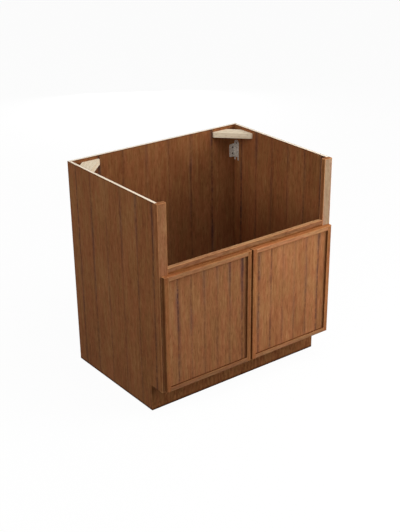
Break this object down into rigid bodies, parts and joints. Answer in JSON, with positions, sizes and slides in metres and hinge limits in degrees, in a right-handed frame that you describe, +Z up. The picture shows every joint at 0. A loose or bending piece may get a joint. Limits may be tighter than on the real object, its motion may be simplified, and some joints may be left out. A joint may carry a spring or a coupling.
{
  "type": "sink base cabinet",
  "caption": "Floor-standing kitchen cabinet for an apron-front sink: open top and upper front, plywood box, face frame, slim-framed hinged doors and a toe kick.",
  "frame": {"origin": "on the floor, at the middle of the space that the cabinet takes with its doors closed", "axes": "+Z up; +Y towards the wall behind; +X to the right of someone who faces the doors"},
  "size_m": [0.8382, 0.6306, 0.8763],
  "materials": {
    "stained_wood": "satin reddish-brown stain over a straight grain",
    "stained_plywood": "satin reddish-brown stain over joined strips; bare pale edges",
    "bare_wood": "unfinished, planed",
    "zinc_plated_steel": "dull zinc plate",
    "nickel_plated_steel": "bright nickel plate",
    "bumper_pad": "milky soft plastic"
  },
  "bodies": {
    "carcass": {"back_panel": "stained_plywood", "floor_panel": "stained_plywood", "frame_apron_rail": "stained_wood", "frame_bottom_rail": "stained_wood", "left_frame_stile": "stained_wood", "left_lower_hinge_arm": "nickel_plated_steel", "left_side_panel": "stained_plywood", "left_upper_hinge_arm": "nickel_plated_steel", "rear_floor_cleat": "bare_wood", "rear_left_corner_block": "bare_wood", "rear_left_corner_bracket": "zinc_plated_steel", "rear_right_corner_block": "bare_wood", "rear_right_corner_bracket": "zinc_plated_steel", "right_frame_stile": "stained_wood", "right_lower_hinge_arm": "nickel_plated_steel", "right_side_panel": "stained_plywood", "right_upper_hinge_arm": "nickel_plated_steel", "toe_bearer": "bare_wood", "toe_kick_board": "stained_wood"},
    "left_outer_links": {"left_lower_hinge_outer_link": "nickel_plated_steel", "left_upper_hinge_outer_link": "nickel_plated_steel"},
    "left_inner_links": {"left_lower_hinge_inner_link": "nickel_plated_steel", "left_upper_hinge_inner_link": "nickel_plated_steel"},
    "left_door": {"left_door_bottom_rail": "stained_wood", "left_door_inner_stile": "stained_wood", "left_door_lower_bumper": "bumper_pad", "left_door_outer_stile": "stained_wood", "left_door_panel": "stained_plywood", "left_door_top_rail": "stained_wood", "left_door_upper_bumper": "bumper_pad", "left_lower_hinge_cup": "nickel_plated_steel", "left_upper_hinge_cup": "nickel_plated_steel"},
    "right_outer_links": {"right_lower_hinge_outer_link": "nickel_plated_steel", "right_upper_hinge_outer_link": "nickel_plated_steel"},
    "right_inner_links": {"right_lower_hinge_inner_link": "nickel_plated_steel", "right_upper_hinge_inner_link": "nickel_plated_steel"},
    "right_door": {"right_door_bottom_rail": "stained_wood", "right_door_inner_stile": "stained_wood", "right_door_lower_bumper": "bumper_pad", "right_door_outer_stile": "stained_wood", "right_door_panel": "stained_plywood", "right_door_top_rail": "stained_wood", "right_door_upper_bumper": "bumper_pad", "right_lower_hinge_cup": "nickel_plated_steel", "right_upper_hinge_cup": "nickel_plated_steel"}
  },
  "joints": [
    {"name": "left_outer_link_pivot", "type": "hinge", "parent": "carcass", "child": "left_outer_links", "pos_m": [-0.3742, -0.28032, 0.36038], "axis": [0, 0, 1], "range_deg": [0, 29.63]},
    {"name": "left_door_swing", "type": "hinge", "parent": "left_outer_links", "child": "left_door", "pos_m": [-0.4019, -0.29933, 0.36038], "axis": [0, 0, -1], "range_deg": [0, 134.61]},
    {"name": "left_inner_link_pivot", "type": "hinge", "parent": "carcass", "child": "left_inner_links", "pos_m": [-0.365, -0.29213, 0.36038], "axis": [0, 0, 1], "range_deg": [0, 32.05]},
    {"name": "right_outer_link_pivot", "type": "hinge", "parent": "carcass", "child": "right_outer_links", "pos_m": [0.3742, -0.28032, 0.36038], "axis": [0, 0, -1], "range_deg": [0, 29.63]},
    {"name": "right_door_swing", "type": "hinge", "parent": "right_outer_links", "child": "right_door", "pos_m": [0.4019, -0.29933, 0.36038], "axis": [0, 0, 1], "range_deg": [0, 134.61]},
    {"name": "right_inner_link_pivot", "type": "hinge", "parent": "carcass", "child": "right_inner_links", "pos_m": [0.365, -0.29213, 0.36038], "axis": [0, 0, -1], "range_deg": [0, 32.05]}
  ],
  "couplings": [
    {"joint": "left_outer_link_pivot", "follows": "left_door_swing", "ratio": 0.21997},
    {"joint": "left_inner_link_pivot", "follows": "left_door_swing", "ratio": 0.23791},
    {"joint": "right_outer_link_pivot", "follows": "right_door_swing", "ratio": 0.21997},
    {"joint": "right_inner_link_pivot", "follows": "right_door_swing", "ratio": 0.23791}
  ]
}
